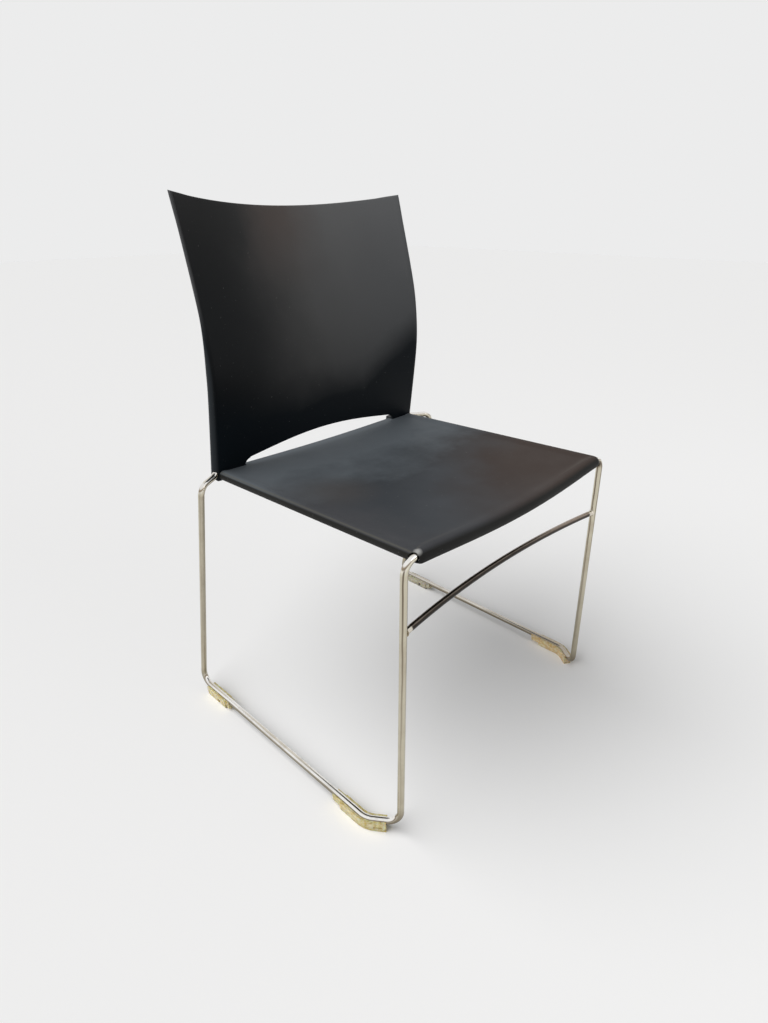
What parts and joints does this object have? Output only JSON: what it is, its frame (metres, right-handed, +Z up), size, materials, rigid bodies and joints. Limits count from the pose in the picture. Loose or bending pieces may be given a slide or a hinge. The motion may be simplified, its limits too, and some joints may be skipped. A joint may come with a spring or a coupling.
{
  "type": "choir chair",
  "caption": "Stacking chair with a moulded seat and curved back on a bent rod frame with sled runners and clip-on glides.",
  "frame": {"origin": "on the floor, in the middle of the chair's footprint", "axes": "+Z up, the chair faces -Y, +X to the chair's left as its sitter sees it"},
  "size_m": [0.562, 0.5352, 0.8464],
  "materials": {
    "seat_plastic": "satin black moulded plastic with a fine grain",
    "back_plastic": "satin black moulded plastic with a fine grain",
    "frame_chrome": "bright bent steel rod, warm reflections, fine scuffs near the floor",
    "glide_plastic": "clear plastic yellowed with age, lightly clouded",
    "screw_steel": "zinc plated"
  },
  "bodies": {
    "root": {"seat_shell": "seat_plastic", "back_shell": "back_plastic", "side_frame_left": "frame_chrome", "side_frame_right": "frame_chrome", "front_cross_rod": "frame_chrome", "rear_cross_rod": "frame_chrome", "seat_rail_left": "frame_chrome", "seat_rail_right": "frame_chrome", "front_brace": "frame_chrome", "front_glide_left": "glide_plastic", "front_glide_right": "glide_plastic", "rear_glide_left": "glide_plastic", "rear_glide_right": "glide_plastic", "seat_screw_left_1": "screw_steel", "seat_screw_left_2": "screw_steel", "seat_screw_right_1": "screw_steel", "seat_screw_right_2": "screw_steel", "back_screw_left": "screw_steel", "back_screw_right": "screw_steel"}
  },
  "joints": []
}
